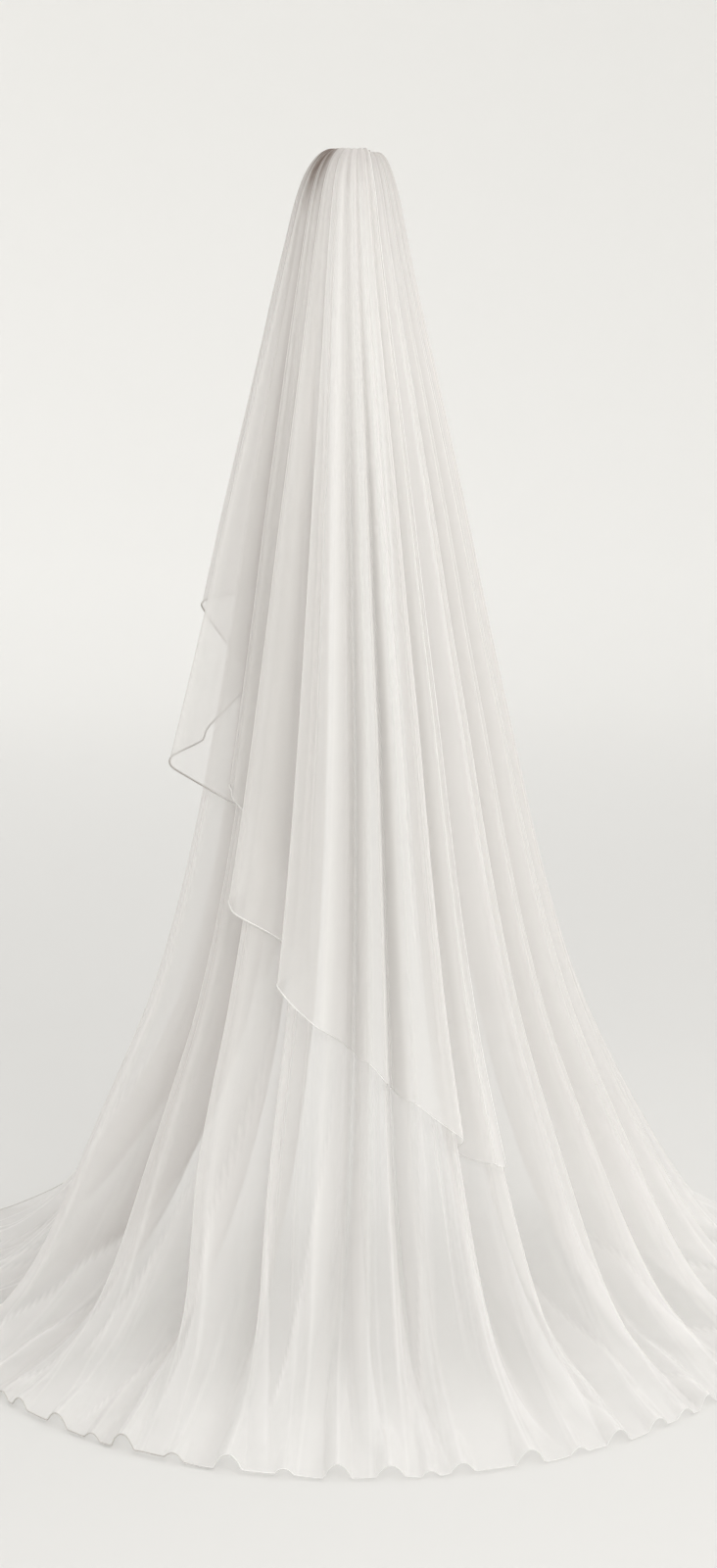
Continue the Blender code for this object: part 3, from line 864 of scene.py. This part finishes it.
def thread_material(name, shaded):
    """The pencil edge: fine twisted silk thread, closer than the net, with painted shade on the veil's shaded
    side.
    """
    made = Nodes(name)
    place = made.add("ShaderNodeTexCoord").outputs["Object"]
    twist = made.add(
        "ShaderNodeTexNoise", {"Vector": place, "Scale": TWIST_SCALE, "Detail": 1.0}
    ).outputs["Fac"]
    # Painted shade: the thread's colour goes from its shade colour on the veil's left to its lit colour
    # towards the right
    across = made.add("ShaderNodeSeparateXYZ", {0: place}).outputs[0]
    lit = made.add(
        "ShaderNodeMapRange", {"Value": across, "From Min": THREAD_SHADE_END, "From Max": THREAD_LIGHT_START}
    ).outputs[0]
    colour = made.mix(lit, shaded, THREAD_PAINTED_LIT)
    furrow = made.math("MULTIPLY", twist, TWIST_SHADE)
    made.put(made.shader, "Base Color", made.mix(furrow, colour, shaded))
    made.put(made.shader, "Roughness", made.span(twist, 0.5, 0.7))
    bump = made.add("ShaderNodeBump", {"Strength": 0.4, "Distance": 0.0004, "Height": twist})
    made.put(made.shader, "Normal", bump.outputs[0])
    made.shader.inputs["Alpha"].default_value = THREAD_COVER
    return made.material


def comb_material():
    """Dull silver wire, brushed along the spine and a little worn."""
    made = Nodes("comb_wire")
    place = made.add("ShaderNodeTexCoord").outputs["Object"]
    grain_place = made.add("ShaderNodeMapping", {"Vector": place, "Scale": (60.0, 900.0, 900.0)}).outputs[0]
    grain = made.add(
        "ShaderNodeTexNoise", {"Vector": grain_place, "Scale": 1.0, "Detail": 3.0}
    ).outputs["Fac"]
    wear = made.add("ShaderNodeTexNoise", {"Vector": place, "Scale": 120.0, "Detail": 2.0}).outputs["Fac"]
    ramp = made.add("ShaderNodeValToRGB", {"Fac": wear})
    ramp.color_ramp.elements[0].position = 0.35
    ramp.color_ramp.elements[0].color = (0.33, 0.315, 0.29, 1.0)
    ramp.color_ramp.elements[1].position = 0.65
    ramp.color_ramp.elements[1].color = (0.50, 0.485, 0.455, 1.0)
    made.put(made.shader, "Base Color", ramp.outputs[0])
    made.put(made.shader, "Roughness", made.span(grain, 0.28, 0.48))
    bump = made.add("ShaderNodeBump", {"Strength": 0.25, "Distance": 0.0002, "Height": grain})
    made.put(made.shader, "Normal", bump.outputs[0])
    made.shader.inputs["Metallic"].default_value = 1.0
    return made.material


def make_stage():
    """A pale floor that turns up into a round wall far behind the object."""
    made = Nodes("stage_paper")
    place = made.add("ShaderNodeTexCoord").outputs["Object"]
    away = made.add("ShaderNodeVectorMath", {0: place}, operation="LENGTH").outputs["Value"]
    ramp = made.add("ShaderNodeValToRGB", {"Fac": made.math("DIVIDE", away, STAGE_REACH)})
    for element, (position, colour) in zip(ramp.color_ramp.elements, (STAGE_NEAR, STAGE_FAR)):
        element.position = position
        element.color = colour
    made.put(made.shader, "Base Color", ramp.outputs[0])
    made.shader.inputs["Roughness"].default_value = 1.0
    made.shader.inputs["Specular IOR Level"].default_value = 0.0

    profile = [(radius, 0.0) for radius in FLOOR_RINGS + (FLOOR_RADIUS,)]
    for turn in np.linspace(0, math.pi / 2, BEND_STEPS + 1)[1:]:
        profile.append((FLOOR_RADIUS + WALL_BEND * math.sin(turn), WALL_BEND - WALL_BEND * math.cos(turn)))
    profile.append((FLOOR_RADIUS + WALL_BEND, 2 * WALL_BEND))
    turns = np.linspace(0, 2 * math.pi, STAGE_SIDES, endpoint=False)
    points = [(r * math.cos(a), r * math.sin(a), FLOOR + z) for r, z in profile for a in turns]
    number = np.arange(len(points)).reshape(len(profile), len(turns))
    turned = np.roll(number, -1, axis=1)
    faces = np.stack([number[:-1], number[1:], turned[1:], turned[:-1]], axis=-1).reshape(-1, 4)
    faces = faces.tolist()
    faces.append(number[0].tolist())
    mesh = bpy.data.meshes.new("stage_floor")
    mesh.from_pydata(points, [], faces)
    mesh.polygons.foreach_set("use_smooth", np.ones(len(mesh.polygons), dtype=bool))
    mesh.materials.append(made.material)
    stage = link(bpy.data.objects.new("stage_floor", mesh))


def area_light(name, place, size, power, colour):
    """A square soft light that points at the veil."""
    data = bpy.data.lights.new(name, "AREA")
    data.shape = "SQUARE"
    data.size = size
    data.energy = power
    data.color = colour
    light = link(bpy.data.objects.new(name, data))
    light.location = place
    light.rotation_euler = (Vector(LIGHTS_AIM) - Vector(place)).to_track_quat("-Z", "Y").to_euler()


def make_lights():
    """A soft light from the right that shines through the cloth, one from behind it and a pale sky."""
    area_light("key", *KEY)
    area_light("fill", *FILL)
    world = bpy.data.worlds.new("studio")
    world.use_nodes = True
    tree = world.node_tree
    background = tree.nodes["Background"]
    direction = tree.nodes.new("ShaderNodeTexCoord").outputs["Generated"]
    split = tree.nodes.new("ShaderNodeSeparateXYZ")
    tree.links.new(direction, split.inputs[0])
    side = tree.nodes.new("ShaderNodeMapRange")
    side.inputs["From Min"].default_value = -1.0
    side.inputs["From Max"].default_value = 1.0
    side.inputs["To Min"].default_value = SKY_LEFT
    side.inputs["To Max"].default_value = SKY_RIGHT
    tree.links.new(split.outputs[0], side.inputs["Value"])
    tree.links.new(side.outputs[0], background.inputs["Strength"])
    background.inputs["Color"].default_value = SKY_COLOUR
    bpy.context.scene.world = world


def make_camera():
    """The photo's camera: behind the veil, 1.2 m above the floor and tipped a little down."""
    data = bpy.data.cameras.new("camera")
    data.sensor_width = 36.0
    data.lens = CAMERA_LENS
    data.clip_end = 60.0
    camera = link(bpy.data.objects.new("camera", data))
    camera.location = (CAMERA_X, CAMERA_Y, CAMERA_HEIGHT - COMB_HEIGHT)
    camera.rotation_euler = (math.radians(CAMERA_TILT), 0.0, 0.0)
    bpy.context.scene.camera = camera


def main():
    """The camera, lights and stage, both tiers with their threads, and the comb's metal."""
    make_camera()
    make_lights()
    make_stage()
    scene = bpy.context.scene
    scene.view_settings.view_transform = "Standard"
    scene.cycles.transparent_max_bounces = 20
    scene.cycles.diffuse_bounces = 3

    long_material = tulle_material("tulle_long")
    short_material = tulle_material("tulle_short")
    long_thread = thread_material("thread_long", LONG_THREAD_PAINTED_SHADE)
    short_thread = thread_material("thread_short", SHORT_THREAD_PAINTED_SHADE)

    long_tulle, long_path = tier_shell(
        "long_tulle", -LONG_END, LONG_END, LONG_COLUMNS, LONG_HEM,
        LONG_LEVEL_END, LONG_LEVEL_ROWS, LONG_ROWS, long_depth, long_looks, long_material,
    )
    short_tulle, short_path = tier_shell(
        "short_tulle", SHORT_START, SHORT_END, SHORT_COLUMNS, SHORT_HEM,
        SHORT_LEVEL_END, SHORT_LEVEL_ROWS, SHORT_ROWS, short_depth, short_looks, short_material,
    )
    long_edge = edge_thread("long_edge", long_path, LONG_EDGE_RADIUS, long_thread)
    short_edge = edge_thread("short_edge", short_path, SHORT_EDGE_RADIUS, short_thread)

    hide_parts("long_tier")
    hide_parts("short_tier")
    for piece, slot in (
        (long_tulle, "tulle_long"),
        (long_edge, "tulle_long"),
        (short_tulle, "tulle_short"),
        (short_edge, "tulle_short"),
    ):
        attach(piece, "root")

    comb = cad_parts["comb"]
    metal = comb_material()
    for slot in comb.material_slots:
        slot.material = metal


main()
